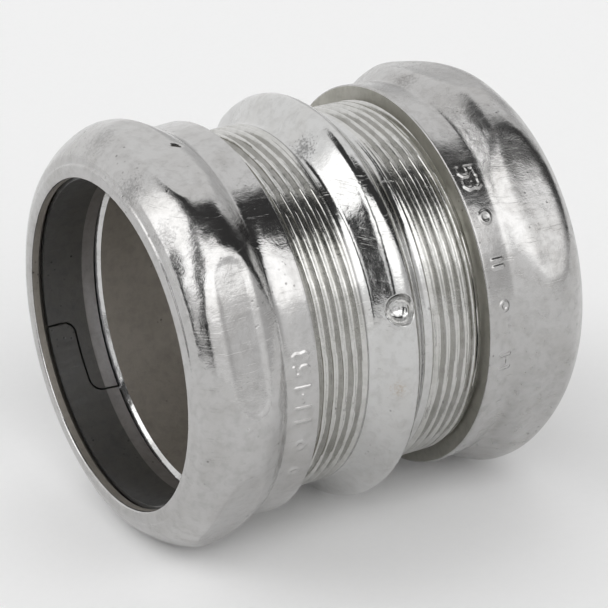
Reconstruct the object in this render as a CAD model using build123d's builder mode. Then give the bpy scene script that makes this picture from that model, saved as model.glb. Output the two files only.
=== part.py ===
from build123d import *
import os
from math import cos, radians, sin, tan

os.makedirs("parts", exist_ok=True)

# Compression coupling for 2 inch thin-wall conduit, millimetres.
# +X runs along the conduit, +Z is up, the origin is the middle of the body's bead.
# "Outward" means away from the bead: -X on the front end, +X on the rear end.
# Angles are about +X, from +Y towards +Z, in degrees.

# --- driving dimensions -------------------------------------------------------------
bore_radius = 28.4            # the body's bore, a sliding fit on the 55.8 mm conduit
body_half_length = 26.3
end_face_radius = 30.5        # the outer edge of the body's end face, inside a 45 degree chamfer
seat_depth = 1.7              # the 45 degree seat for the ring, from the end face inwards

thread_pitch = 1.88           # 13.5 turns to the inch, right-hand on both ends
crest_radius = 31.6
thread_depth = 1.0
nut_major_radius = 31.75      # 0.15 clear of the body's crests
nut_minor_radius = 30.77      # 0.17 clear of the floor of the body's groove
crest_flat = 0.31
flank_half_angle = 30
groove_overrun = 0.18         # how far a groove's cutter stands past the crest
thread_runout = 0.9           # plain stretch between the thread and the foot of the bead
groove_angle = 151.0          # a groove crosses this angle at the places on the next line
groove_x = {"front": -13.7, "rear": 8.28}

bead_radius = 35.85
bead_wall = 2.4
bead_foot_radius = 31.3
bead_foot_x = 5.75
bead_foot_bevel = 0.4         # from the foot up to the thread's crests
hollow_shoulder_x = 1.0
hollow_shoulder_drop = 0.5    # from the hollow's crown down to its shoulders

stop_ball_radius = 2.5        # the round punch that made the dimples in the bead
stop_ball_height = 35.2
stop_x = -1.5
stop_angle = 161.4
stop_count = 3

nut_length = 21.3
nut_opening_radius = 28.6
nut_crown_radius = 36.85
nut_wall = 2.4                # under a flat
crown_wall = 2.65             # between the flats
nut_lip_x = {"front": 38.35, "rear": 37.55}
flat_distance = 35.0          # from the axis to each pressed wrench flat
flat_count = 6
flat_angle = {"front": 98.0, "rear": 82.0}
skirt_radius = 34.25
skirt_edge = 0.4
lip_edge = 0.4
lining_radius = 32.6          # the skirt's threaded lining is made first, then joined on
lining_chamfer = 0.5
lining_start = 13.8           # from the lip to the inner end of the thread
cavity_start = 1.6            # the length of the lip's straight wall
cavity_cone = 2.0             # the length of the cone behind it

ring_inner_radius = 28.2
ring_outer_radius = 30.35
ring_width = 10.0
ring_setback = 2.35           # from the nut's lip to the ring's outer edge
ring_nose = 0.35              # the blunt edge left on the inner end
inner_bevel = 1.5             # the bevel's length along the axis, at the inner end
outer_bevel = 1.4
lead_in_length = 2.4          # the bore opens slightly towards the inner end
lead_in_depth = 0.3
split_gap = 0.35
split_run = 13.3              # length of the split's middle run, around the ring
split_corner = 2.2
split_angle = {"front": 329.5, "rear": 60.0}

# --- sizes that follow --------------------------------------------------------------
flank_slope = tan(radians(flank_half_angle))
hollow_crown_radius = bead_radius - bead_wall
cavity_crown_radius = nut_crown_radius - crown_wall
stop_angles = [stop_angle + index * 360 / stop_count for index in range(stop_count)]

# Each end has a frame whose local X points outward and whose local Y is the radius.
end_frame = {
    "front": Plane(origin=(0, 0, 0), x_dir=(-1, 0, 0), z_dir=(0, 1, 0)),
    "rear": Plane.XZ,
}
outward_sign = {"front": -1, "rear": 1}
flats_plane = Plane(origin=(0, 0, 0), x_dir=(0, 1, 0), z_dir=(1, 0, 0))


def radial_plane(x, angle, distance):
    """A plane facing away from the axis at this angle, its local X along +X."""
    outward = Vector(0, cos(radians(angle)), sin(radians(angle)))
    return Plane(origin=Vector(x, 0, 0) + outward * distance, x_dir=(1, 0, 0), z_dir=outward)


def groove_start(known_x, known_angle, nearest):
    """Where a groove known at one angle crosses the helix's starting angle, near this x."""
    with BuildLine() as probe:
        Helix(thread_pitch, thread_pitch, crest_radius, direction=(1, 0, 0))
    start = probe.line @ 0
    start_angle = Vector(0, 1, 0).get_signed_angle(Vector(0, start.Y, start.Z), Vector(1, 0, 0))
    x = known_x + thread_pitch * (start_angle - known_angle) / 360
    return x + thread_pitch * round((nearest - x) / thread_pitch)


def helical_cutter(start_x, end_x, open_radius, floor_radius):
    """One right-hand V groove, wide at open_radius and narrowing to floor_radius."""
    away = 1 if floor_radius > open_radius else -1
    half_depth = abs(open_radius - floor_radius) / 2
    open_half_width = (thread_pitch - crest_flat) / 2
    floor_half_width = open_half_width - 2 * half_depth * flank_slope
    outer_half_width = open_half_width + groove_overrun * flank_slope
    floor = away * half_depth
    outer = -away * (half_depth + groove_overrun)
    with BuildPart() as cutter:
        with BuildLine() as path:
            Helix(
                thread_pitch, end_x - start_x, (open_radius + floor_radius) / 2,
                center=(start_x, 0, 0), direction=(1, 0, 0),
            )
        start = path.line @ 0
        radial = Vector(0, start.Y, start.Z).normalized()
        with BuildSketch(Plane(origin=start, x_dir=radial, z_dir=path.line % 0)):
            with BuildLine():
                Polyline(
                    (floor, floor_half_width),
                    (floor, -floor_half_width),
                    (outer, -outer_half_width),
                    (outer, outer_half_width),
                    close=True,
                )
            make_face()
        sweep(path=path.line, is_frenet=True)
    return cutter.part


# --- coupling body: threaded tube with a hollow bead rolled round its middle --------
with BuildPart() as bead_hollow:
    with BuildSketch(Plane.XZ):
        with BuildLine():
            shoulder_radius = hollow_crown_radius - hollow_shoulder_drop
            Polyline(
                (-hollow_shoulder_x, shoulder_radius),
                (-bead_foot_x, bore_radius),
                (-bead_foot_x, 0),
                (bead_foot_x, 0),
                (bead_foot_x, bore_radius),
                (hollow_shoulder_x, shoulder_radius),
            )
            ThreePointArc(
                (hollow_shoulder_x, shoulder_radius),
                (0, hollow_crown_radius),
                (-hollow_shoulder_x, shoulder_radius),
            )
        make_face()
    revolve(axis=Axis.X)
    for angle in stop_angles:
        with Locations(radial_plane(stop_x, angle, stop_ball_height)):
            Sphere(stop_ball_radius + bead_wall, mode=Mode.SUBTRACT)

with BuildPart() as coupling_body:
    with BuildSketch(Plane.XZ):
        with BuildLine():
            for side in (-1, 1):
                Polyline(
                    (side * bead_foot_x, bead_foot_radius),
                    (side * (bead_foot_x + bead_foot_bevel), crest_radius),
                    (side * (body_half_length - crest_radius + end_face_radius), crest_radius),
                    (side * body_half_length, end_face_radius),
                    (side * body_half_length, 0),
                )
                ThreePointArc(
                    (side * bead_foot_x, bead_foot_radius), (side * 4.6, 31.6), (side * 3.7, 32.5)
                )
                Line((side * 3.7, 32.5), (side * 2.0, 34.7))
            Line((-body_half_length, 0), (body_half_length, 0))
            ThreePointArc((2.0, 34.7), (0, bead_radius), (-2.0, 34.7))
        make_face()
    revolve(axis=Axis.X)
    for frame in end_frame.values():
        with BuildSketch(frame):
            with BuildLine():
                Polyline(
                    (bead_foot_x / 2, 0),
                    (bead_foot_x / 2, bore_radius),
                    (body_half_length - seat_depth, bore_radius),
                    (body_half_length, bore_radius + seat_depth),
                    (body_half_length, 0),
                    close=True,
                )
            make_face()
        revolve(axis=Axis.X, mode=Mode.SUBTRACT)
    add(bead_hollow.part, mode=Mode.SUBTRACT)
    for angle in stop_angles:
        with Locations(radial_plane(stop_x, angle, stop_ball_height)):
            Sphere(stop_ball_radius, mode=Mode.SUBTRACT)
    for end, sign in outward_sign.items():
        mouth_x = sign * (body_half_length + thread_pitch / 2)
        runout_x = sign * (bead_foot_x + thread_runout)
        start_x = groove_start(groove_x[end], groove_angle, min(mouth_x, runout_x))
        cutter = helical_cutter(
            start_x, max(mouth_x, runout_x), crest_radius, crest_radius - thread_depth
        )
        add(cutter, mode=Mode.SUBTRACT)
coupling_body.part.label = "coupling_body"
export_step(coupling_body.part, "parts/coupling_body.step")

# --- nuts: drawn steel, threaded inside the skirt, six pressed flats on the crown ---
# Both nuts are drawn at the rear end, and the front one is then turned end for end about Z,
# which keeps its thread right-hand and takes an angle to 180 degrees less that angle.
# Outlines are drawn from the lip: local X runs back from it and local Y is the radius.
for end, lip in nut_lip_x.items():
    turned = end == "front"
    first_flat = 180 - flat_angle[end] if turned else flat_angle[end]
    body_groove = -groove_x[end] if turned else groove_x[end]
    body_groove_angle = 180 - groove_angle if turned else groove_angle
    skirt_end = lip - nut_length
    lip_frame = Plane(origin=(lip, 0, 0), x_dir=(-1, 0, 0), z_dir=(0, 1, 0))

    with BuildPart() as cavity:
        with BuildSketch(lip_frame):
            with BuildLine():
                cone_end = (cavity_start + cavity_cone, nut_opening_radius + 2.4)
                Polyline(
                    (lining_start, lining_radius),
                    (lining_start, 0),
                    (cavity_start, 0),
                    (cavity_start, nut_opening_radius),
                    cone_end,
                )
                ThreePointArc(cone_end, (8.8, cavity_crown_radius), (lining_start, lining_radius))
            make_face()
        revolve(axis=Axis.X)
        with BuildSketch(flats_plane):
            RegularPolygon(
                flat_distance - nut_wall, flat_count, major_radius=False,
                rotation=first_flat + 180 / flat_count,
            )
        extrude(amount=2 * lip, mode=Mode.INTERSECT)

    with BuildPart() as lining:
        with BuildSketch(Plane.XZ):
            with BuildLine():
                Polyline(
                    (lip - lining_start, lining_radius),
                    (skirt_end, lining_radius),
                    (skirt_end, nut_minor_radius + lining_chamfer),
                    (skirt_end + lining_chamfer, nut_minor_radius),
                    (lip - lining_start, nut_minor_radius),
                    close=True,
                )
            make_face()
        revolve(axis=Axis.X)
        nut_groove = body_groove + thread_pitch / 2
        start_x = groove_start(nut_groove, body_groove_angle, skirt_end - thread_pitch)
        cutter = helical_cutter(
            start_x, lip - lining_start + thread_pitch / 2, nut_minor_radius, nut_major_radius
        )
        add(cutter, mode=Mode.SUBTRACT)

    with BuildPart() as nut:
        with BuildSketch(lip_frame):
            with BuildLine():
                ThreePointArc((0, 31.2), (0.45, 32.35), (1.4, 33.05))
                ThreePointArc((1.4, 33.05), (3.2, 34.6), (5.2, 35.85))
                ThreePointArc((5.2, 35.85), (8.8, nut_crown_radius), (12.4, 35.75))
                Line((12.4, 35.75), (14.2, 34.65))
                ThreePointArc((14.2, 34.65), (16.4, 33.85), (18.6, skirt_radius))
                Polyline(
                    (18.6, skirt_radius),
                    (nut_length - skirt_edge, skirt_radius),
                    (nut_length, skirt_radius - skirt_edge),
                    (nut_length, lining_radius),
                    (lining_start, lining_radius),
                    (lining_start, nut_opening_radius),
                    (lip_edge, nut_opening_radius),
                    (0, nut_opening_radius + lip_edge),
                    (0, 31.2),
                )
            make_face()
        revolve(axis=Axis.X)
        with BuildSketch(flats_plane):
            RegularPolygon(
                flat_distance, flat_count, major_radius=False,
                rotation=first_flat + 180 / flat_count,
            )
        extrude(amount=2 * lip, mode=Mode.INTERSECT)
        add(cavity.part, mode=Mode.SUBTRACT)
        add(lining.part)
    finished_nut = nut.part.rotate(Axis.Z, 180) if turned else nut.part
    finished_nut.label = f"{end}_nut"
    export_step(finished_nut, f"parts/{end}_nut.step")

# --- rings: split steel bands, bevelled outside at both ends ------------------------
for end, frame in end_frame.items():
    outer_end = nut_lip_x[end] - ring_setback
    inner_end = outer_end - ring_width
    middle_x = outward_sign[end] * (outer_end + inner_end) / 2
    ring_wall = ring_outer_radius - ring_inner_radius
    with BuildPart() as ring:
        with BuildSketch(frame):
            with BuildLine():
                Polyline(
                    (inner_end, ring_inner_radius + lead_in_depth),
                    (inner_end, ring_inner_radius + lead_in_depth + ring_nose),
                    (inner_end + inner_bevel, ring_outer_radius),
                    (outer_end - outer_bevel, ring_outer_radius),
                    (outer_end, ring_outer_radius - outer_bevel),
                    (outer_end, ring_inner_radius),
                    (inner_end + lead_in_length, ring_inner_radius),
                    close=True,
                )
            make_face()
        revolve(axis=Axis.X)
        with BuildSketch(radial_plane(middle_x, split_angle[end], ring_inner_radius - ring_wall)):
            with BuildLine():
                FilletPolyline(
                    (-ring_width, -split_run / 2),
                    (0, -split_run / 2),
                    (0, split_run / 2),
                    (ring_width, split_run / 2),
                    radius=split_corner,
                )
            trace(line_width=split_gap)
        extrude(amount=3 * ring_wall, mode=Mode.SUBTRACT)
    ring.part.label = f"{end}_ring"
    export_step(ring.part, f"parts/{end}_ring.step")
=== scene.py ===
import math

import bpy
import numpy as np
from mathutils import Matrix, Vector


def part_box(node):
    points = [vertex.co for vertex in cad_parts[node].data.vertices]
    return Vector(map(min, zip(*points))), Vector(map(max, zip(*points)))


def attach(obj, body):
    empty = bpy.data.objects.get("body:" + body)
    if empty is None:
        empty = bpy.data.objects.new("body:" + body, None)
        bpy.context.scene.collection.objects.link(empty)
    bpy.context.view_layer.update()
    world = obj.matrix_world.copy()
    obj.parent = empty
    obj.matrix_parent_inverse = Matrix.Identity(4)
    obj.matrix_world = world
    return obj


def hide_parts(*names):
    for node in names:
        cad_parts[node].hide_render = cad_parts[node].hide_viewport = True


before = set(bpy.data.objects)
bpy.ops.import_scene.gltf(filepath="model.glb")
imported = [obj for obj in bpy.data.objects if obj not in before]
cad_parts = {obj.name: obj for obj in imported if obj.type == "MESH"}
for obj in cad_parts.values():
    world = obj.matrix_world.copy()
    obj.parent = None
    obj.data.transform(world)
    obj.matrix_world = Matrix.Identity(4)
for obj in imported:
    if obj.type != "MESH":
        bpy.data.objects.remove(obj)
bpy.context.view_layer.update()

# A conduit compression coupling: a threaded body with a bead round its middle, and on each end a
# nut and the split ring inside it. Shapes are worked out in millimetres and made in metres.
# x runs along the conduit, u runs inwards from a nut's lip, and r is the distance from the axis.
# Angles round the axis are in degrees about +X, from +Y towards +Z.
MM = 0.001
ENDS = {"front": -1, "rear": 1}  # which way each end faces along x

# --- the body's sizes -----------------------------------------------------------------
BODY_HALF = 26.3
BORE = 28.4
SEAT_START = 24.6  # where the cone that takes a ring begins, along x
SEAT_RIM = 30.1
END_FACE = 30.5
BEAD_CROWN = 35.85
BEAD_FOOT = 5.75
BEAD_FOOT_RADIUS = 31.33
BEAD_HALF = 7.4  # half the bead, with the plain stretch beside it
BEAD_SIDE = 6.4  # where that stretch begins
BEAD_WALL = 2.4
HOLLOW_HALF = 0.8  # half the level top of the hollow in the bead

# The dimples punched into the bead, each the print of a ball.
DIMPLE_X = -1.5
DIMPLE_HEIGHT = 35.2
DIMPLE_ANGLES = (161.4, 281.4, 41.4)
DIMPLE_BALL = 2.5
DIMPLE_SQUASH = 0.92
DIMPLE_SLOPE = 3.5  # of the wall beyond the ball's print
DIMPLE_RIM = 0.16  # how far the rim is rounded
DIMPLE_BACK_RIM = 0.3  # the same, on the inside of the bead

PITCH = 1.88
THREAD_STEP = PITCH / 16
CREST = 31.6
THREAD_DEPTH = 1.0
GROOVE_OPEN = 0.785  # half the groove's width at its top
GROOVE_FLOOR = 0.21  # half its width at its floor
GROOVE_X = {"front": -13.7, "rear": 8.28}  # where a groove crosses GROOVE_ANGLE
GROOVE_ANGLE = 151.0
THREAD_FADE = (6.3, 7.6)  # the thread runs out towards the bead between these

# --- the nuts' sizes ------------------------------------------------------------------
NUT_OPENING = 28.6
NUT_CROWN = 36.84
NUT_WALL = 2.4
LIP_FACE = 30.2
CONE_U = (1.6, 3.6)  # the cone that wedges the ring runs between these, out to CONE_TOP
CONE_TOP = 31.0
LINING = 32.6  # outside of the threaded lining, where it ends in the nut's hollow
NUT_MINOR = 30.77
NUT_THREAD_DEPTH = 0.97
THREAD_U = (13.8, 20.8)
SKIRT_U = (20.7, 21.3)  # where the skirt's side ends, and its end face
SKIRT_RADIUS = 34.25
SKIRT_INNER = 31.27
CUT_FACE = (31.1, 34.05)  # inner and outer radius of the bare metal on the end face

# Each flat is a broad pressed face, with a deeper pocket in it that has round ends.
FLAT_ANGLE = {"front": 98.0, "rear": 82.0}
FLAT_SPACING = 60
FLAT_DISTANCE = 35.0
FLAT_U = (1.0, 16.0)
# A bow of 1 makes a face straight across, and 0 makes it an arc round the axis.
BROAD_RISE = 0.3
BROAD_BOW = 0.8
BROAD_RIM = 1.3  # how far the broad face's edge is rounded
POCKET_RISE = 0.05
POCKET_BOW = 0.55
POCKET_U = 8.2
POCKET_HALF = 9.6  # half its length, without the round ends
POCKET_RADIUS = 35.5  # at which that length is measured round the nut
POCKET_EDGE = {"front": (3.95, 2.3), "rear": (4.8, 1.2)}  # its side, by distance from its middle line
POCKET_SHARE = {"front": 0.95, "rear": 0.6}  # how far down to its floor it is pressed

# Faint waves in the sheet metal: the seed and the size of each.
THREAD_WAVE = (31, 0.03)
BEAD_WAVE = (5, 0.012)
NUT_WAVE = {"front": (11, 0.016), "rear": (23, 0.016)}

# --- the rings' sizes -----------------------------------------------------------------
RING_INNER = 28.2
RING_OUTER = 30.35
RING_WIDTH = 10.0
RING_SETBACK = 2.35  # from the nut's lip
RING_FLARE = 0.3  # the bore widens by this over RING_FLARE_WIDTH at the inner end
RING_FLARE_WIDTH = 2.4
RING_NOSE = 0.65  # the 45 degree chamfer at the inner end starts this far outside RING_INNER
RING_HEEL = 1.4  # the 45 degree chamfer at the outer end
SPLIT_ANGLE = {"front": 329.5, "rear": 60.0}
SPLIT_RUN = 13.3  # length of the split's middle stretch, round the ring
SPLIT_LEAN = 0.15
SPLIT_CORNER = 2.2
SPLIT_GAP = 0.35

lip_x = {
    "front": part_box("front_nut")[0].x / MM,
    "rear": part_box("rear_nut")[1].x / MM,
}

# --- marks and flaws ------------------------------------------------------------------
# Strokes of each plain mark, in a cell one unit wide and two high.
CIRCLE = [(0.5 + 0.5 * math.cos(t / 8 * math.pi), 1.0 + 0.5 * math.sin(t / 8 * math.pi)) for t in range(17)]
STROKES = {
    "5": [(1.0, 2.0), (0.0, 2.0), (0.0, 1.15), (0.6, 1.25), (1.0, 0.9), (1.0, 0.35), (0.6, 0.0), (0.0, 0.1)],
    "3": [(0.0, 2.0), (0.7, 2.0), (1.0, 1.6), (0.9, 1.2), (0.4, 1.05), (0.9, 0.9), (1.0, 0.4), (0.65, 0.0),
          (0.0, 0.1)],
    "|": [(0.5, 0.1), (0.5, 1.9)],
    "-": [(0.1, 1.0), (0.9, 1.0)],
    "o": CIRCLE,
}
# Each mark on a skirt: which one, where it starts round the skirt, and its size.
MARKS = {
    "rear": [("5", 0.0, 1.6), ("3", 2.4, 1.6), ("o", 8.4, 1.9), ("|", 16.2, 1.1), ("|", 17.4, 1.1),
             ("o", 24.0, 1.5), ("|", 33.0, 1.1), ("-", 34.2, 1.1), ("|", 35.6, 1.1)],
    "front": [("o", 0.0, 1.5), ("o", 6.0, 1.7), ("|", 11.0, 1.4), ("|", 13.6, 1.4), ("-", 15.3, 1.4),
              ("|", 17.2, 1.4), ("5", 20.2, 1.3), ("3", 22.4, 1.3)],
}
MARK_ANGLE = {"rear": 127.0, "front": 206.0}
MARK_U = 18.2
MARK_RADIUS = 34.2
MARK_HEIGHT = 0.19
MARK_EDGE = (0.48, 0.08)  # a stroke's side rises between these distances from its middle line
# Where a nut's mesh is finer, as (middle, reach) in degrees: at the marks, and at the larger pit.
FINE_SPANS = {"rear": [(158.0, 34.0)], "front": [(184.0, 24.0), (96.0, 4.0)]}
# Each pit in the front nut: x, angle, half length, half width, lean in radians, and depth.
PITS = [(-26.0, 96.0, 1.0, 0.5, 0.5, 0.5), (-31.6, 181.0, 0.5, 0.25, 1.2, 0.25)]
PIT_RADIUS = 35  # at which a pit's size is measured round the nut
DARK_PIT = 0.3  # a pit deeper than this is coloured near black in its middle, as painted shade


# --- curves ---------------------------------------------------------------------------
def smoothstep(low, high, value):
    share = np.clip((value - low) / (high - low), 0.0, 1.0)
    return share * share * (3.0 - 2.0 * share)


def smooth_min(a, b, width):
    """The smaller of the two, rounded over where they are less than width apart."""
    share = np.clip(0.5 + 0.5 * (b - a) / width, 0.0, 1.0)
    return b * (1.0 - share) + a * share - width * share * (1.0 - share)


def curve_through(points, spacing):
    """A smooth line through these points, by Catmull-Rom pieces."""
    p = np.array(points, float)
    p = np.vstack([2 * p[0] - p[1], p, 2 * p[-1] - p[-2]])
    line = []
    for i in range(1, len(p) - 2):
        count = max(2, int(np.linalg.norm(p[i + 1] - p[i]) / spacing) + 1)
        t = np.linspace(0, 1, count, endpoint=False)[:, None]
        line.append(
            0.5 * (
                2 * p[i] + (p[i + 1] - p[i - 1]) * t
                + (2 * p[i - 1] - 5 * p[i] + 4 * p[i + 1] - p[i + 2]) * t**2
                + (3 * p[i] - p[i - 1] - 3 * p[i + 1] + p[i + 2]) * t**3
            )
        )
    return np.vstack(line + [p[-2:-1]])


def rounded_path(corners, spacing):
    """Straight runs between (along, radius, fillet) corners, with an arc at each inner corner."""
    points = [np.array(c[:2], float) for c in corners]
    line = [points[0]]
    for i in range(1, len(points) - 1):
        fillet = corners[i][2]
        before = points[i - 1] - points[i]
        after = points[i + 1] - points[i]
        before /= np.linalg.norm(before)
        after /= np.linalg.norm(after)
        half = math.acos(np.clip(before @ after, -1, 1)) / 2
        reach = fillet / math.tan(half)
        start = points[i] + before * reach
        stop = points[i] + after * reach
        centre = points[i] + (before + after) / np.linalg.norm(before + after) * fillet / math.sin(half)
        for share in np.linspace(0, 1, 7):
            spot = start * (1 - share) + stop * share - centre
            line.append(centre + spot / np.linalg.norm(spot) * fillet)
    line.append(points[-1])
    dense = [line[0]]
    for spot in line[1:]:
        first = dense[-1]
        count = max(1, int(np.linalg.norm(spot - first) / spacing))
        for share in np.linspace(0, 1, count + 1)[1:]:
            dense.append(first * (1 - share) + spot * share)
    return np.array(dense)


def angles_with_detail(count, details):
    """Angles all round, in degrees, closer together near each (centre, reach, step)."""
    angle = list(np.linspace(0, 360, count, endpoint=False))
    for centre, reach, step in details:
        centre = centre % 360
        angle = [a for a in angle if abs((a - centre + 180) % 360 - 180) > reach + 360 / count / 2]
        angle += [(a % 360) for a in np.arange(centre - reach, centre + reach + step / 2, step)]
    return np.array(sorted(angle))


def groove_share(x, angle, groove_x):
    """How deep the thread is cut here, from 0 on the crest to 1 on the floor."""
    turn = (x - groove_x) / PITCH - (angle - GROOVE_ANGLE) / 360
    away = np.abs(turn - np.round(turn)) * PITCH
    return smoothstep(0, 1, np.clip((GROOVE_OPEN - away) / (GROOVE_OPEN - GROOVE_FLOOR), 0, 1))


def ripple(x, angle, wave):
    """Slight unevenness of sheet metal: a sum of low waves round it and along it."""
    seed, size = wave
    total = np.zeros(np.broadcast(x, angle).shape)
    rng = np.random.default_rng(seed)
    for _ in range(14):
        around = rng.integers(2, 26)
        along = rng.uniform(0.05, 0.5)
        phase = rng.uniform(0, 2 * math.pi, 2)
        swell = np.sin(np.radians(angle) * around + phase[0]) * np.sin(x * along + phase[1])
        total += swell / (1 + 0.15 * around)
    return size * total


def raised_marks(marks, up, degrees):
    """Height of the marks on a skirt, at a place this far above their line and round from their start."""
    around = np.radians(degrees) * MARK_RADIUS
    height = np.zeros(around.shape)
    for character, start, size in marks:
        near = (np.abs(around - start - size / 2) < 2 * size + 1) & (np.abs(up) < 5)
        place = np.stack([around[near], up[near]], -1)
        line = STROKES[character]
        for (a, b), (c, d) in zip(line, line[1:]):
            start_spot = np.array((start + a * size, (b - 1) * size))
            run = np.array((c - a, d - b)) * size
            offset = place - start_spot
            share = np.clip(offset @ run / (run @ run), 0, 1)
            away = np.linalg.norm(offset - share[:, None] * run, axis=1)
            height[near] = np.maximum(height[near], MARK_HEIGHT * smoothstep(*MARK_EDGE, away))
    return height


# --- meshes ---------------------------------------------------------------------------
def grid_mesh(x, r, angle, closed, slots):
    """Points and faces of rows along a section and columns round the axis.
    closed joins the last column to the first. slots has a material for each row, or for each cell."""
    rows, columns = r.shape
    theta = np.radians(angle)
    points = np.stack([x, r * np.cos(theta), r * np.sin(theta)], -1).reshape(-1, 3) * MM
    i, j = np.meshgrid(np.arange(rows), np.arange(columns if closed else columns - 1), indexing="ij")
    i2 = (i + 1) % rows
    j2 = (j + 1) % columns
    quads = np.stack([i * columns + j, i * columns + j2, i2 * columns + j2, i2 * columns + j], -1)
    slots = np.broadcast_to(slots if slots.ndim == 2 else slots[:, None], (rows, quads.shape[1]))
    return points, quads.reshape(-1, 4), slots.reshape(-1)


def make_piece(name, body, node, points, faces, material_index, materials):
    """A smooth-shaded piece that rides this body and stands for this CAD node."""
    mesh = bpy.data.meshes.new(name)
    mesh.from_pydata(points.tolist(), [], faces.tolist())
    for material in materials:
        mesh.materials.append(material)
    mesh.polygons.foreach_set("material_index", np.asarray(material_index, np.int32))
    mesh.polygons.foreach_set("use_smooth", np.ones(len(faces), bool))
    mesh.update()
    piece = bpy.data.objects.new(name, mesh)
    bpy.context.scene.collection.objects.link(piece)
    edges = piece.modifiers.new("edges", "EDGE_SPLIT")
    edges.split_angle = math.radians(38)
    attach(piece, body)
    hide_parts(node)


# --- shader nodes ---------------------------------------------------------------------
def add_node(tree, kind, inputs=None, **settings):
    """A node with these settings, whose inputs are linked if they are sockets and set if not."""
    node = tree.nodes.new(kind)
    for key, value in settings.items():
        setattr(node, key, value)
    for key, value in (inputs or {}).items():
        if isinstance(value, bpy.types.NodeSocket):
            tree.links.new(value, node.inputs[key])
        else:
            node.inputs[key].default_value = value
    return node


def noise(tree, place, scale, detail=2.0, roughness=0.5, distortion=0.0):
    return add_node(tree, "ShaderNodeTexNoise", {
        "Vector": place, "Scale": scale, "Detail": detail, "Roughness": roughness,
        "Distortion": distortion}).outputs["Fac"]


def remap(tree, value, from_min, from_max, to_min=0.0, to_max=1.0):
    return add_node(tree, "ShaderNodeMapRange", {
        "Value": value, "From Min": from_min, "From Max": from_max,
        "To Min": to_min, "To Max": to_max}).outputs[0]


def compute(tree, operation, *values):
    return add_node(tree, "ShaderNodeMath", dict(enumerate(values)), operation=operation).outputs[0]


def blend(tree, share, a, b):
    return add_node(tree, "ShaderNodeMix", {0: share, 6: a, 7: b}, data_type="RGBA").outputs[2]


def bump(tree, height, distance, normal=None):
    inputs = {"Height": height, "Strength": 1.0, "Distance": distance}
    if normal is not None:
        inputs["Normal"] = normal
    return add_node(tree, "ShaderNodeBump", inputs).outputs[0]


def patch(tree, place, centre, radius, specks):
    """One in the middle of a patch and nothing outside it, broken up by the specks."""
    away = add_node(tree, "ShaderNodeVectorMath", {0: place, 1: centre}, operation="DISTANCE").outputs[1]
    ragged = compute(tree, "MULTIPLY_ADD", specks, -4.0 * radius, away)
    return remap(tree, ragged, -2.0 * radius, -1.2 * radius, 1.0, 0.0)


# --- metals ---------------------------------------------------------------------------
# Heights of the surface's unevenness. All sizes here are in metres.
DENT_HEIGHT = 0.00009
MOTTLE_HEIGHT = 0.00004
GRAIN_HEIGHT = 0.0000035
DRAWN_HEIGHT = 0.000007
TURNED_HEIGHT = 0.0000035
SCRATCH_HEIGHT = -0.000012
PIT_HEIGHT = -0.00006


def shaded(color, share):
    return tuple(c * share for c in color[:3]) + (1,)


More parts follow.
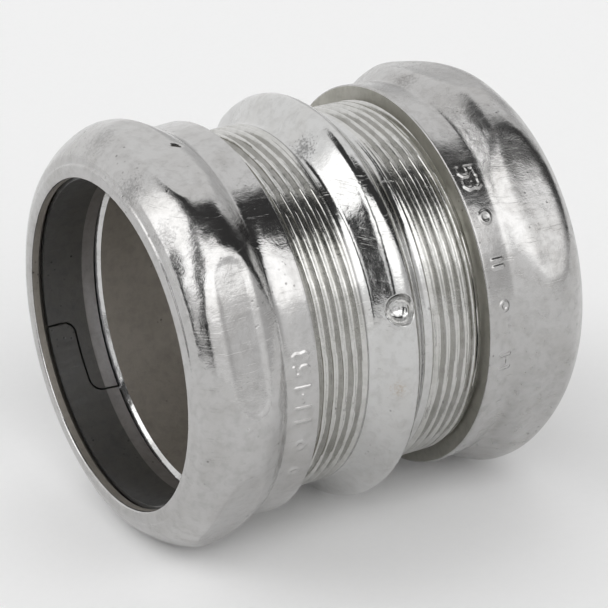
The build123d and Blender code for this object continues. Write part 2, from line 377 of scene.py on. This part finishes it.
def metal(name, color, stain, rough, peel=1.0, drawn=1.0, turned=0.5, stained=0.25, patches=()):
    """Plated or bare steel. color and stain are its clean and stained colours, and rough the range of
    its roughness. The rest are amounts: peel of small dents, drawn of lines along the axis, turned of
    lines round it, stained of stains. Each patch has a centre, radius, colour and strength."""
    material = bpy.data.materials.new(name)
    material.use_nodes = True
    tree = material.node_tree
    shader = tree.nodes["Principled BSDF"]
    shader.inputs["Metallic"].default_value = 1.0
    place = add_node(tree, "ShaderNodeTexCoord").outputs["Object"]

    # Scales are in features a metre, so a scale of 500 has features about 2 mm across.
    along_axis = add_node(tree, "ShaderNodeMapping", {"Vector": place, "Scale": (90.0, 1500.0, 1500.0)})
    round_axis = add_node(tree, "ShaderNodeMapping", {"Vector": place, "Scale": (3000.0, 90.0, 90.0)})
    slanted = add_node(tree, "ShaderNodeMapping", {
        "Vector": place, "Rotation": (0.5, 0.9, 0.7), "Scale": (160.0, 160.0, 5200.0)})
    cloud = noise(tree, place, 150.0, 5.0, 0.6, 0.5)
    mottle = noise(tree, place, 560.0, 5.0, 0.66, 0.3)
    grain = noise(tree, place, 2800.0, 2.0, 0.6)
    specks = noise(tree, place, 2400.0, 5.0, 0.7, 0.4)
    dents = noise(tree, place, 230.0, 1.0)
    drawn_lines = noise(tree, along_axis.outputs[0], 1.0, 4.0, 0.65, 0.2)
    turned_lines = noise(tree, round_axis.outputs[0], 1.0, 3.0, 0.6)
    scratches = remap(tree, noise(tree, slanted.outputs[0], 1.0, 2.0, 0.5), 0.64, 0.7)
    scratches = compute(tree, "MULTIPLY", scratches, remap(tree, cloud, 0.45, 0.6))
    cells = add_node(tree, "ShaderNodeTexVoronoi", {"Vector": place, "Scale": 750.0})
    spots = remap(tree, cells.outputs["Distance"], 0.04, 0.22, 1.0, 0.0)
    pitted = remap(tree, noise(tree, place, 120.0, 3.0, 0.7), 0.56, 0.66)
    pits = compute(tree, "MULTIPLY", spots, pitted)

    tone = blend(tree, remap(tree, cloud, 0.42, 0.7, 0.0, stained), color, stain)
    tone = blend(tree, remap(tree, mottle, 0.45, 0.75, 0.0, 0.3), tone, shaded(stain, 0.55))
    for centre, radius, patch_color, strength in patches:
        share = compute(tree, "MULTIPLY", patch(tree, place, centre, radius, specks), strength)
        tone = blend(tree, share, tone, patch_color)
    tone = blend(tree, pits, tone, shaded(stain, 0.2))
    tree.links.new(tone, shader.inputs["Base Color"])

    smears = remap(tree, drawn_lines, 0.35, 0.65, 0.0, 0.3)
    blotches = remap(tree, mottle, 0.35, 0.65, 0.0, 0.5)
    dullness = compute(tree, "ADD", smears, blotches)
    dullness = compute(tree, "MULTIPLY_ADD", scratches, 0.5, dullness)
    tree.links.new(remap(tree, dullness, 0.0, 1.0, *rough), shader.inputs["Roughness"])

    normal = bump(tree, dents, DENT_HEIGHT * peel)
    normal = bump(tree, mottle, MOTTLE_HEIGHT * peel, normal)
    normal = bump(tree, grain, GRAIN_HEIGHT * peel, normal)
    normal = bump(tree, drawn_lines, DRAWN_HEIGHT * drawn, normal)
    normal = bump(tree, turned_lines, TURNED_HEIGHT * turned, normal)
    normal = bump(tree, scratches, SCRATCH_HEIGHT, normal)
    normal = bump(tree, pits, PIT_HEIGHT, normal)
    tree.links.new(normal, shader.inputs["Normal"])
    return material


soot = (0.10, 0.10, 0.10, 1)
dust = (0.12, 0.115, 0.11, 1)
# Dark colour laid in the bead's dimples as painted shade.
dimple_shade = (0.09, 0.085, 0.08, 1)
rust = (0.42, 0.33, 0.24, 1)


def dimple_shade_patch(degrees):
    """Painted shade in the dimple at this angle round the bead: a dark patch over its walls."""
    out = 0.0345
    turn = math.radians(degrees)
    return (DIMPLE_X * MM, out * math.cos(turn), out * math.sin(turn)), 0.0026, dimple_shade, 0.75


nut_zinc = metal(
    "nut_zinc", (0.52, 0.515, 0.51, 1), (0.37, 0.355, 0.335, 1), (0.07, 0.24), 1.2, 1.7, stained=0.3,
    patches=(
        ((-0.0372, -0.0090, 0.0312), 0.0036, soot, 0.45),
        ((-0.0350, 0.0060, 0.0345), 0.0044, dust, 0.35),
        ((-0.0365, -0.0190, 0.0270), 0.0028, soot, 0.4),
    ))
dull_nut_zinc = metal(
    "dull_nut_zinc", (0.50, 0.495, 0.49, 1), (0.35, 0.335, 0.315, 1), (0.17, 0.33), 1.4, 1.7, stained=0.35,
    patches=(
        ((0.0225, 0.0040, 0.0345), 0.0040, dust, 0.5),
        ((0.0330, -0.0120, 0.0325), 0.0030, (0.08, 0.08, 0.08, 1), 0.6),
    ))
# The body's patches: a rust spot, soot, and painted shade in each dimple.
body_zinc = metal(
    "body_zinc", (0.61, 0.61, 0.605, 1), (0.47, 0.45, 0.42, 1), (0.05, 0.18), 1.1,
    patches=(
        ((-0.0027, -0.0351, -0.0025), 0.0019, rust, 0.6),
        ((-0.0043, -0.0080, 0.0312), 0.0030, soot, 0.7),
        ((-0.0047, -0.0305, 0.0105), 0.0012, soot, 0.6),
    ) + tuple(dimple_shade_patch(a) for a in DIMPLE_ANGLES))
thread_zinc = metal("thread_zinc", (0.60, 0.595, 0.58, 1), (0.40, 0.40, 0.35, 1), (0.09, 0.27), 1.3, 3.0, 1.5)
cut_edge = metal("cut_edge", (0.44, 0.43, 0.39, 1), (0.24, 0.235, 0.19, 1), (0.35, 0.5), 2.0, 0.5, 2.0)
bore_steel = metal("bore_steel", (0.47, 0.44, 0.40, 1), (0.30, 0.28, 0.24, 1), (0.5, 0.62), 2.0, 1.0, 1.0)
# Near-black colour for the middle of a deep pit: painted shade.
pit_shade = metal("pit_shade", (0.07, 0.065, 0.06, 1), (0.04, 0.04, 0.04, 1), (0.5, 0.7), 3.0)
ring_steel = metal("ring_steel", (0.30, 0.305, 0.31, 1), (0.17, 0.17, 0.18, 1), (0.3, 0.45), 1.5, 1.0, 1.5)
ring_bevel = metal("ring_bevel", (0.60, 0.60, 0.62, 1), (0.34, 0.34, 0.36, 1), (0.28, 0.4), 1.5, 1.0, 3.0)


# --- coupling body --------------------------------------------------------------------
BODY_MATERIALS = [body_zinc, thread_zinc, bore_steel]
BEAD_SLOT, THREAD_SLOT, BORE_SLOT = range(3)


def body_outside(x):
    """The body's outer radius before its threads are cut."""
    bead = curve_through(
        ((-BEAD_HALF, CREST), (-BEAD_SIDE, CREST), (-BEAD_FOOT, BEAD_FOOT_RADIUS), (-4.7, 31.65),
         (-3.7, 32.75), (-2.0, 34.9), (-1.0, 35.62), (0, BEAD_CROWN), (1.0, 35.55), (2.0, 34.72),
         (3.7, 32.6), (4.7, 31.65), (BEAD_FOOT, BEAD_FOOT_RADIUS), (BEAD_SIDE, CREST),
         (BEAD_HALF, CREST)), 0.05)
    chamfer = END_FACE + (BODY_HALF - np.abs(x))
    return np.minimum(np.interp(x, bead[:, 0], bead[:, 1]), chamfer)


def body_inside(x):
    """The body's inner radius: the bore, the seats at its ends and the hollow in the bead."""
    seat = SEAT_RIM - (BODY_HALF - np.abs(x))
    share = np.clip((BEAD_FOOT - np.abs(x)) / (BEAD_FOOT - HOLLOW_HALF), 0, 1)
    hollow = BORE + (BEAD_CROWN - BEAD_WALL - BORE) * share
    return np.maximum(np.maximum(BORE, seat), hollow)


def from_dimple(x, theta, dimple_angle):
    """Distance over the bead's surface from the middle of a dimple."""
    turn = np.radians((theta - dimple_angle + 180) % 360 - 180)
    return np.hypot(x - DIMPLE_X, DIMPLE_HEIGHT * turn)


def dimpled(x, theta, r):
    """The bead's outside with a ball's print at each dimple."""
    for dimple_angle in DIMPLE_ANGLES:
        off = from_dimple(x, theta, dimple_angle)
        # The print stops just inside the ball's radius, before its wall would stand upright.
        reach = np.minimum(off, 0.97 * DIMPLE_BALL)
        bottom = DIMPLE_HEIGHT - DIMPLE_SQUASH * np.sqrt(DIMPLE_BALL**2 - reach**2)
        bottom = bottom + DIMPLE_SLOPE * (off - reach)
        r = np.where(off < 1.6 * DIMPLE_BALL, smooth_min(r, bottom, DIMPLE_RIM), r)
    return r


def bulged(x, theta, r):
    """The bead's inside with the back of each dimple standing into the hollow."""
    ball = DIMPLE_BALL + BEAD_WALL
    for dimple_angle in DIMPLE_ANGLES:
        off = np.minimum(from_dimple(x, theta, dimple_angle), ball)
        r = smooth_min(r, DIMPLE_HEIGHT - np.sqrt(ball**2 - off**2), DIMPLE_BACK_RIM)
        r = np.maximum(r, BORE)
    return r


def build_body():
    # Rows are closer together on the threads and the seats, and closest at the dimples.
    thread_rows = np.arange(BEAD_HALF, BODY_HALF, THREAD_STEP)
    bead_rows = np.linspace(-BEAD_HALF, BEAD_HALF, 100)
    dimple_rows = DIMPLE_X + np.linspace(-3.2, 3.2, 75)
    seat_rows = np.linspace(SEAT_START, BODY_HALF, 8)
    bore_rows = np.linspace(-SEAT_START, SEAT_START, 50)
    hollow_rows = np.linspace(-BEAD_FOOT, BEAD_FOOT, 60)
    outer_x = np.unique(np.concatenate([
        -thread_rows, [-BODY_HALF, BODY_HALF], bead_rows, dimple_rows, thread_rows]).round(4))
    inner_x = np.unique(np.concatenate([seat_rows, -seat_rows, bore_rows, hollow_rows]).round(4))[::-1]
    angle = angles_with_detail(320, [(a, 5.2, 0.14) for a in DIMPLE_ANGLES])

    x, theta = np.meshgrid(outer_x, angle, indexing="ij")
    r = body_outside(x)
    for end, sign in ENDS.items():
        cut = (THREAD_DEPTH + ripple(x, theta, THREAD_WAVE)) * groove_share(x, theta, GROOVE_X[end])
        cut = cut * smoothstep(*THREAD_FADE, sign * x)
        r = np.where(sign * x > 0, np.minimum(r, np.maximum(r, CREST) - cut), r)
    r = r + ripple(x, theta, BEAD_WAVE) * smoothstep(6.2, 4.5, np.abs(x))
    r = dimpled(x, theta, r)

    inner, inner_theta = np.meshgrid(inner_x, angle, indexing="ij")
    inner_r = bulged(inner, inner_theta, body_inside(inner))
    slots = np.concatenate([
        np.where(np.abs(outer_x) > BEAD_SIDE, THREAD_SLOT, BEAD_SLOT),
        np.where(np.abs(inner_x) > SEAT_START - 0.05, BEAD_SLOT, BORE_SLOT)])
    points, faces, index = grid_mesh(np.vstack([x, inner]), np.vstack([r, inner_r]), angle, True, slots)
    make_piece(
        "coupling_body_steel", "body", "coupling_body", points, faces, index, BODY_MATERIALS)


# --- nuts -----------------------------------------------------------------------------
PLATING = {"front": nut_zinc, "rear": dull_nut_zinc}
PLATED, CUT, THREADED, INSIDE, PIT_SHADE = range(5)


def nut_section():
    """Each zone of a nut's section as (u, r) points, in order round it from the wall of the opening."""
    cone_start, cone_end = CONE_U
    thread_start, thread_end = THREAD_U
    skirt_side, skirt_end = SKIRT_U
    return {
        "lip": rounded_path(
            ((cone_start, NUT_OPENING, 0), (0, NUT_OPENING, 0.45), (0, LIP_FACE, 0)), 0.3)[:-1],
        "outside": curve_through(
            ((0.0, LIP_FACE), (0.16, 30.75), (0.46, 31.1), (0.72, 31.9), (1.3, 32.85), (3.2, 34.6),
             (5.2, 35.9), (7.0, 36.62), (8.8, NUT_CROWN), (10.6, 36.6), (12.4, 35.75), (14.2, 34.65),
             (15.1, 34.08), (15.6, 33.88), (16.4, 33.86), (18.6, 34.12), (skirt_side, SKIRT_RADIUS)),
            0.13)[:-1],
        "skirt": rounded_path(
            ((skirt_side, SKIRT_RADIUS, 0), (skirt_end, SKIRT_RADIUS, 0.3), (skirt_end, SKIRT_INNER, 0.08),
             (thread_end, NUT_MINOR, 0)), 0.4)[:-1],
        "thread": np.array([
            (u, NUT_MINOR) for u in np.arange(thread_end - 0.05, thread_start, -THREAD_STEP)]),
        "shoulder": rounded_path(((thread_start, NUT_MINOR, 0), (thread_start, LINING, 0)), 0.4)[1:-1],
        "hollow": curve_through(
            ((thread_start, LINING), (11.4, 33.7), (8.8, 34.15), (6.2, 33.3), (cone_end, CONE_TOP)),
            0.5)[:-1],
        "cone": rounded_path(((cone_end, CONE_TOP, 0), (cone_start, NUT_OPENING, 0)), 0.4)[:-1],
    }


def nut_slots(path, zone):
    """The material slot of each row of a nut's section."""
    u, r = path.T
    zone_slot = {"outside": PLATED, "skirt": CUT, "thread": THREADED}
    slots = np.array([zone_slot.get(name, INSIDE) for name in zone])
    slots[(zone == "lip") & (u < 0.5)] = PLATED
    slots[(zone == "skirt") & (r > CUT_FACE[1])] = PLATED
    slots[(zone == "skirt") & (r < CUT_FACE[0])] = THREADED
    return slots


def pressed(end, u, r, turn):
    """A nut's outside with its flats pressed in. turn is the angle from the nearest flat's middle."""
    cosine = np.cos(np.radians(turn))
    broad = smooth_min(r, (FLAT_DISTANCE + BROAD_RISE) / cosine**BROAD_BOW, BROAD_RIM)
    floor = (FLAT_DISTANCE + POCKET_RISE) / cosine**POCKET_BOW
    beyond = np.maximum(np.abs(np.radians(turn)) * POCKET_RADIUS - POCKET_HALF, 0)
    pocket = POCKET_SHARE[end] * smoothstep(*POCKET_EDGE[end], np.hypot(beyond, u - POCKET_U))
    flat = broad - pocket * np.maximum(broad - floor, 0)
    return np.where((u > FLAT_U[0]) & (u < FLAT_U[1]), flat, r)


def pit_share(x, theta, pit_x, pit_angle, half_length, half_width, lean):
    """How much of a pit's depth is reached here: one in its middle, less around it."""
    round_nut = np.radians(theta - pit_angle) * PIT_RADIUS
    along = (x - pit_x) * math.cos(lean) + round_nut * math.sin(lean)
    across = -(x - pit_x) * math.sin(lean) + round_nut * math.cos(lean)
    return np.exp(-((along / half_length) ** 2) - (across / half_width) ** 2)


def build_nut(end):
    sign = ENDS[end]
    section = nut_section()
    path = np.vstack(list(section.values()))
    zone = np.repeat(list(section), [len(points) for points in section.values()])
    is_outside = np.isin(zone, ("outside", "skirt"))[:, None]
    angle = angles_with_detail(400, [(middle, reach, 0.22) for middle, reach in FINE_SPANS[end]])
    u, theta = np.meshgrid(path[:, 0], angle, indexing="ij")
    r = np.broadcast_to(path[:, 1:], u.shape)
    x = lip_x[end] - sign * u
    turn = (theta - FLAT_ANGLE[end] + FLAT_SPACING / 2) % FLAT_SPACING - FLAT_SPACING / 2

    r = np.where(is_outside, pressed(end, u, r, turn), r)
    inner_flat = (FLAT_DISTANCE - NUT_WALL) / np.cos(np.radians(turn))
    r = np.where((zone == "hollow")[:, None], np.minimum(r, inner_flat), r)
    ridge = NUT_THREAD_DEPTH * groove_share(x, theta, GROOVE_X[end] + PITCH / 2)
    r = np.where((zone == "thread")[:, None], r + ridge, r)
    wave = ripple(x, theta, NUT_WAVE[end]) * smoothstep(0.5, 3, u) * smoothstep(21.2, 20, u)
    r = np.where(is_outside, r + wave, r)
    r = np.minimum(r, NUT_CROWN)
    slots = np.broadcast_to(nut_slots(path, zone)[:, None], r.shape).copy()
    if end == "front":
        for *pit, depth in PITS:
            share = np.where(is_outside, pit_share(x, theta, *pit), 0)
            r = r - depth * share
            # The middle of a deep pit takes the near-black material, as painted shade.
            if depth > DARK_PIT:
                slots[share > 0.45] = PIT_SHADE
    marks = raised_marks(MARKS[end], MARK_U - u, sign * (theta - MARK_ANGLE[end]))
    r = np.where(is_outside, r + marks, r)

    if sign < 0:
        # The rows run the other way round, so that faces point outwards here too.
        r = r[::-1]
        x = x[::-1]
        slots = np.roll(slots[::-1], -1, axis=0)
    points, faces, index = grid_mesh(x, r, angle, True, slots)
    materials = [PLATING[end], cut_edge, thread_zinc, bore_steel, pit_shade]
    make_piece(
        f"{end}_nut_steel", f"{end}_nut_body", f"{end}_nut", points, faces, index, materials)


# --- split rings ----------------------------------------------------------------------
def split_edges():
    """The two sides of the Z-shaped split, as (distance along the ring, distance round it)."""
    half = SPLIT_RUN / 2
    line = rounded_path(
        ((-RING_WIDTH, half, 0), (-SPLIT_LEAN, half, SPLIT_CORNER), (SPLIT_LEAN, -half, SPLIT_CORNER),
         (RING_WIDTH, -half, 0)), 0.15)
    tangent = np.gradient(line, axis=0)
    tangent /= np.linalg.norm(tangent, axis=1)[:, None]
    normal = np.stack([-tangent[:, 1], tangent[:, 0]], 1)
    return line + normal * SPLIT_GAP / 2, line - normal * SPLIT_GAP / 2


def build_ring(end):
    sign = ENDS[end]
    half = RING_WIDTH / 2
    middle = lip_x[end] - sign * (RING_SETBACK + half)
    # Rows are closer together where the split turns, and next to the ring's edges.
    along = np.unique(np.concatenate([
        np.linspace(-half, half, 61), np.linspace(-0.6, 0.6, 61), [-4.9, 4.9, -4.8, 4.8]]).round(4))
    from_inner = half + along * sign
    outside = np.minimum(RING_OUTER, np.minimum(
        RING_INNER + RING_NOSE + from_inner, RING_OUTER - RING_HEEL + (RING_WIDTH - from_inner)))
    inside = RING_INNER + RING_FLARE * np.clip((RING_FLARE_WIDTH - from_inner) / RING_FLARE_WIDTH, 0, 1)

    side_a, side_b = split_edges()
    edge_a = np.degrees(np.interp(along, side_a[:, 0], side_a[:, 1]) / RING_INNER)
    edge_b = np.degrees(np.interp(along, side_b[:, 0], side_b[:, 1]) / RING_INNER)
    # Columns follow the split at each end of the ring, and straighten out over a fifth of a turn.
    share = np.linspace(0, 1, 241)
    fade = smoothstep(0.2, 0.0, share)
    angle = (360 * share[None, :] + np.maximum(edge_a, edge_b)[:, None] * fade[None, :]
             + np.minimum(edge_a, edge_b)[:, None] * fade[None, ::-1]) + SPLIT_ANGLE[end]

    x = middle + along[:, None] + 0 * angle
    outer_r = outside[:, None] + 0 * angle
    inner_r = inside[:, None] + 0 * angle
    slots = np.where(from_inner < RING_FLARE_WIDTH, 1, 0)
    points, faces, index = grid_mesh(
        np.vstack([x, x[::-1]]), np.vstack([outer_r, inner_r[::-1]]), np.vstack([angle, angle[::-1]]),
        False, np.concatenate([slots, slots[::-1]]))
    rows, columns = angle.shape
    caps = []
    for k in range(rows - 1):
        cap = (k * columns, (k + 1) * columns, (2 * rows - 2 - k) * columns, (2 * rows - 1 - k) * columns)
        caps.append(cap)
        caps.append(tuple(corner + columns - 1 for corner in cap[::-1]))
    faces = np.vstack([faces, caps])
    index = np.concatenate([index, np.zeros(len(caps), int)])
    make_piece(
        f"{end}_ring_steel", f"{end}_ring_body", f"{end}_ring", points, faces, index,
        [ring_steel, ring_bevel])


# --- floor and camera -----------------------------------------------------------------
FLOOR_HALF = 3.0
CAMERA_AZIMUTH = math.radians(-31.13)
CAMERA_ELEVATION = math.radians(25.48)
CAMERA_DISTANCE = 0.4426
CAMERA_RIGHT = 0.000487
CAMERA_UP = -0.001467
CAMERA_LENS = 150.4


def build_floor():
    """A sheet of white paper under the lowest CAD node."""
    low = min(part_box(node)[0].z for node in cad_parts)
    corners = [(x * FLOOR_HALF, y * FLOOR_HALF, low) for x, y in ((-1, -1), (1, -1), (1, 1), (-1, 1))]
    mesh = bpy.data.meshes.new("floor")
    mesh.from_pydata(corners, [], [(0, 1, 2, 3)])
    floor = bpy.data.objects.new("floor", mesh)
    bpy.context.scene.collection.objects.link(floor)
    material = bpy.data.materials.new("floor_paper")
    material.use_nodes = True
    tree = material.node_tree
    shader = tree.nodes["Principled BSDF"]
    place = add_node(tree, "ShaderNodeTexCoord").outputs["Object"]
    tone = blend(tree, noise(tree, place, 900.0), (0.93, 0.93, 0.93, 1), (0.95, 0.95, 0.95, 1))
    tree.links.new(tone, shader.inputs["Base Color"])
    shader.inputs["Roughness"].default_value = 0.9
    shader.inputs["Specular IOR Level"].default_value = 0.0
    mesh.materials.append(material)


def build_camera():
    back = Vector((
        math.sin(CAMERA_AZIMUTH) * math.cos(CAMERA_ELEVATION),
        -math.cos(CAMERA_AZIMUTH) * math.cos(CAMERA_ELEVATION),
        math.sin(CAMERA_ELEVATION)))
    right = Vector((math.cos(CAMERA_AZIMUTH), math.sin(CAMERA_AZIMUTH), 0))
    up = back.cross(right)
    data = bpy.data.cameras.new("camera")
    data.sensor_width = 36
    data.lens = CAMERA_LENS
    data.clip_start = 0.01
    camera = bpy.data.objects.new("camera", data)
    turn = Matrix((right, up, back)).transposed().to_4x4()
    spot = back * CAMERA_DISTANCE + right * CAMERA_RIGHT + up * CAMERA_UP
    camera.matrix_world = Matrix.Translation(spot) @ turn
    bpy.context.scene.collection.objects.link(camera)
    bpy.context.scene.camera = camera


# --- studio light ---------------------------------------------------------------------
STUDIO_TURN = math.radians(121.13)  # puts the studio's zero degrees at the front, beside the camera
# Brightness of the soft box, of the pale walls, and of what is dark.
SOFT_BOX = 2.0
WALL = 0.98
DARK = 0.05
# Each side of the dark gap is a curve of height, as the share of its square, its share and a start.
GAP_LEFT = (-0.0075, -0.5, 116.0)
GAP_RIGHT = (0.0035, -0.35, 142.0)
GAP_BLUR = 4.0
SEAM_MIDDLE = (-0.07, -24.0)  # its lean with height, and its place at no height
LOW_SEAM_MIDDLE = (17.0, -54.0)  # how far it bends to the front low down, and its place high up


def build_light():
    """A round studio, painted by direction: around and height are the direction's angles in degrees.
    Its walls are pale, the upper front is a soft box, and the ceiling is dark. So are a slanted gap
    to the right of the soft box and two narrow seams left of the front, the second one low."""
    world = bpy.data.worlds.new("studio")
    bpy.context.scene.world = world
    world.use_nodes = True
    tree = world.node_tree
    background = tree.nodes["Background"]
    background.inputs["Color"].default_value = (1, 1, 1, 1)
    direction = add_node(tree, "ShaderNodeTexCoord").outputs["Generated"]
    turned = add_node(tree, "ShaderNodeVectorRotate", {
        "Vector": direction, "Angle": STUDIO_TURN}, rotation_type="Z_AXIS")
    parts = add_node(tree, "ShaderNodeSeparateXYZ", {0: turned.outputs[0]})

    def number(operation, *values):
        return compute(tree, operation, *values)

    def rise(value, low, high):
        return add_node(tree, "ShaderNodeMapRange", {
            "Value": value, "From Min": low, "From Max": high}, interpolation_type="SMOOTHSTEP").outputs[0]

    def fall(value, low, high):
        return number("SUBTRACT", 1.0, rise(value, low, high))

    def all_of(first, *others):
        for other in others:
            first = number("MULTIPLY", first, other)
        return first

    degrees = 180 / math.pi
    height = number("MULTIPLY", number("ARCSINE", parts.outputs[2]), degrees)
    around = number("MULTIPLY", number("ARCTAN2", parts.outputs[1], parts.outputs[0]), degrees)

    def curve(square, slope, start):
        return number("MULTIPLY_ADD", height, number("MULTIPLY_ADD", height, square, slope), start)

    past_left = rise(number("SUBTRACT", around, curve(*GAP_LEFT)), -GAP_BLUR, GAP_BLUR)
    before_right = rise(number("SUBTRACT", curve(*GAP_RIGHT), around), -GAP_BLUR, GAP_BLUR)
    gap = all_of(past_left, before_right, rise(height, -6.0, 2.0))
    ceiling = all_of(rise(height, 62.0, 70.0), before_right)

    middle = number("MULTIPLY_ADD", height, *SEAM_MIDDLE)
    from_seam = number("ABSOLUTE", number("SUBTRACT", around, middle))
    seam = all_of(fall(from_seam, 5.5, 9.0), rise(height, -8.0, 2.0))
    low_middle = number("MULTIPLY_ADD", fall(height, -6.0, 22.0), *LOW_SEAM_MIDDLE)
    from_low_seam = number("ABSOLUTE", number("SUBTRACT", around, low_middle))
    low_seam = all_of(fall(from_low_seam, 5.5, 8.5), rise(height, -10.0, 0.0), fall(height, 34.0, 40.0))
    dark = number("MAXIMUM", number("MAXIMUM", gap, ceiling), number("MAXIMUM", seam, low_seam))

    # The soft box dims towards its right end, and the wall below that end is in shade.
    box = all_of(rise(around, -95.0, -80.0), rise(height, 20.0, 28.0), number("SUBTRACT", 1.0, past_left))
    box = all_of(box, number("MULTIPLY_ADD", rise(around, 45.0, 80.0), -0.55, 1.0))
    shade = all_of(rise(around, 35.0, 80.0), fall(height, 12.0, 28.0))
    wall = number("MULTIPLY_ADD", shade, -0.35 * WALL, WALL)
    pale = number("MULTIPLY_ADD", box, number("SUBTRACT", SOFT_BOX, wall), wall)
    light = number("MULTIPLY_ADD", dark, number("SUBTRACT", DARK, pale), pale)
    tree.links.new(light, background.inputs["Strength"])


# --- the scene ------------------------------------------------------------------------
build_body()
for end in ENDS:
    build_nut(end)
    build_ring(end)
build_floor()
build_camera()
build_light()

bpy.context.scene.view_settings.view_transform = "Standard"
